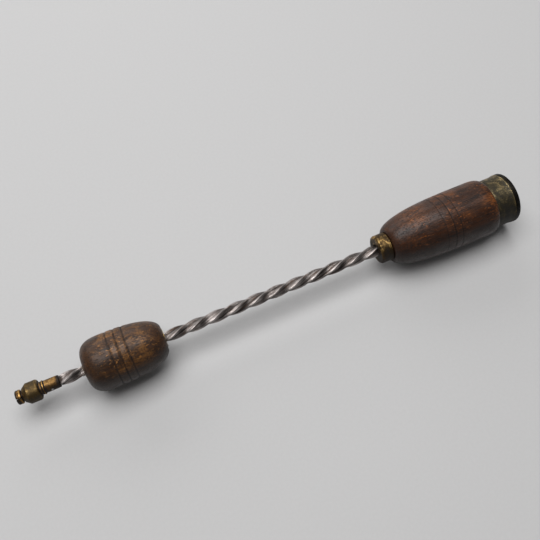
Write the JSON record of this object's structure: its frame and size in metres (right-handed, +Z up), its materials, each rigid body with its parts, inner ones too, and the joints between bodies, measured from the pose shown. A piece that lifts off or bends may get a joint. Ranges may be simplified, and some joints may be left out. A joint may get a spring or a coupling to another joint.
{
  "type": "archimedean hand drill",
  "caption": "Spiral push hand drill: wooden handle and bobbin on a twisted square spindle, with a split-collet chuck and a screw cap over a bit magazine.",
  "frame": {"origin": "middle of the tool's length, on the surface that it lies on, below its axis", "axes": "+X along the drill's axis from the chuck to the cap, +Z up from the surface that it lies on; the axis is 12.87 mm above that surface"},
  "size_m": [0.228, 0.0258, 0.0257],
  "materials": {
    "handle_wood": "dark reddish brown, rubbed orange-brown in patches, worn satin polish",
    "bobbin_wood": "brown, darker at the ends and in the grooves, worn satin",
    "ferrule_brass": "aged, pitted, with bright golden patches",
    "chuck_brass": "golden orange, tarnished in the grooves",
    "sleeve_brass": "olive brown patina, rough and worn",
    "cap_brass": "dark olive patina with golden scratches",
    "cap_rim": "near-black patina, rounded",
    "inner_brass": "dull machined",
    "spindle_steel": "polished by wear on its corners, dark and stained in its hollows",
    "hard_steel": "machined",
    "cork": "plain cork"
  },
  "bodies": {
    "handle": {"handle_grip": "handle_wood", "front_ferrule": "ferrule_brass", "ferrule_pin": "ferrule_brass", "bearing_bush": "inner_brass", "thrust_disc": "hard_steel", "bearing_plug": "inner_brass", "magazine_ring": "inner_brass"},
    "spindle": {"twisted_spindle": "spindle_steel", "spindle_collar": "hard_steel", "collar_pin": "hard_steel", "chuck_body": "chuck_brass", "chuck_pin": "hard_steel"},
    "collet": {"collet": "chuck_brass"},
    "sleeve": {"chuck_sleeve": "sleeve_brass"},
    "bobbin": {"bobbin_body": "bobbin_wood", "drive_nut": "inner_brass", "guide_bush": "inner_brass"},
    "cap_carrier": {"cap_liner": "cork"},
    "cap": {"cap_barrel": "cap_brass", "cap_end_disc": "cap_rim"}
  },
  "joints": [
    {"name": "bobbin_slide", "type": "slide", "parent": "handle", "child": "bobbin", "axis": [1, 0, 0], "range_m": [-0.0102, 0.098]},
    {"name": "spindle_spin", "type": "hinge", "parent": "handle", "child": "spindle", "pos_m": [0, 0, 0.01287], "axis": [1, 0, 0], "range_deg": [-103, 960]},
    {"name": "collet_travel", "type": "slide", "parent": "spindle", "child": "collet", "axis": [-1, 0, 0], "range_m": [0, 0.00225]},
    {"name": "sleeve_turn", "type": "hinge", "parent": "collet", "child": "sleeve", "pos_m": [-0.10698, 0, 0.01287], "axis": [-1, 0, 0], "range_deg": [0, 1081]},
    {"name": "cap_travel", "type": "slide", "parent": "handle", "child": "cap_carrier", "axis": [1, 0, 0], "range_m": [0, 0.00562]},
    {"name": "cap_turn", "type": "hinge", "parent": "cap_carrier", "child": "cap", "pos_m": [0.10802, 0, 0.01287], "axis": [1, 0, 0], "range_deg": [0, 1621]}
  ],
  "couplings": [
    {"joint": "spindle_spin", "follows": "bobbin_slide", "rad_per_m": 170.74},
    {"joint": "sleeve_turn", "follows": "collet_travel", "rad_per_m": 8377.6},
    {"joint": "cap_turn", "follows": "cap_travel", "rad_per_m": 5026.5}
  ]
}
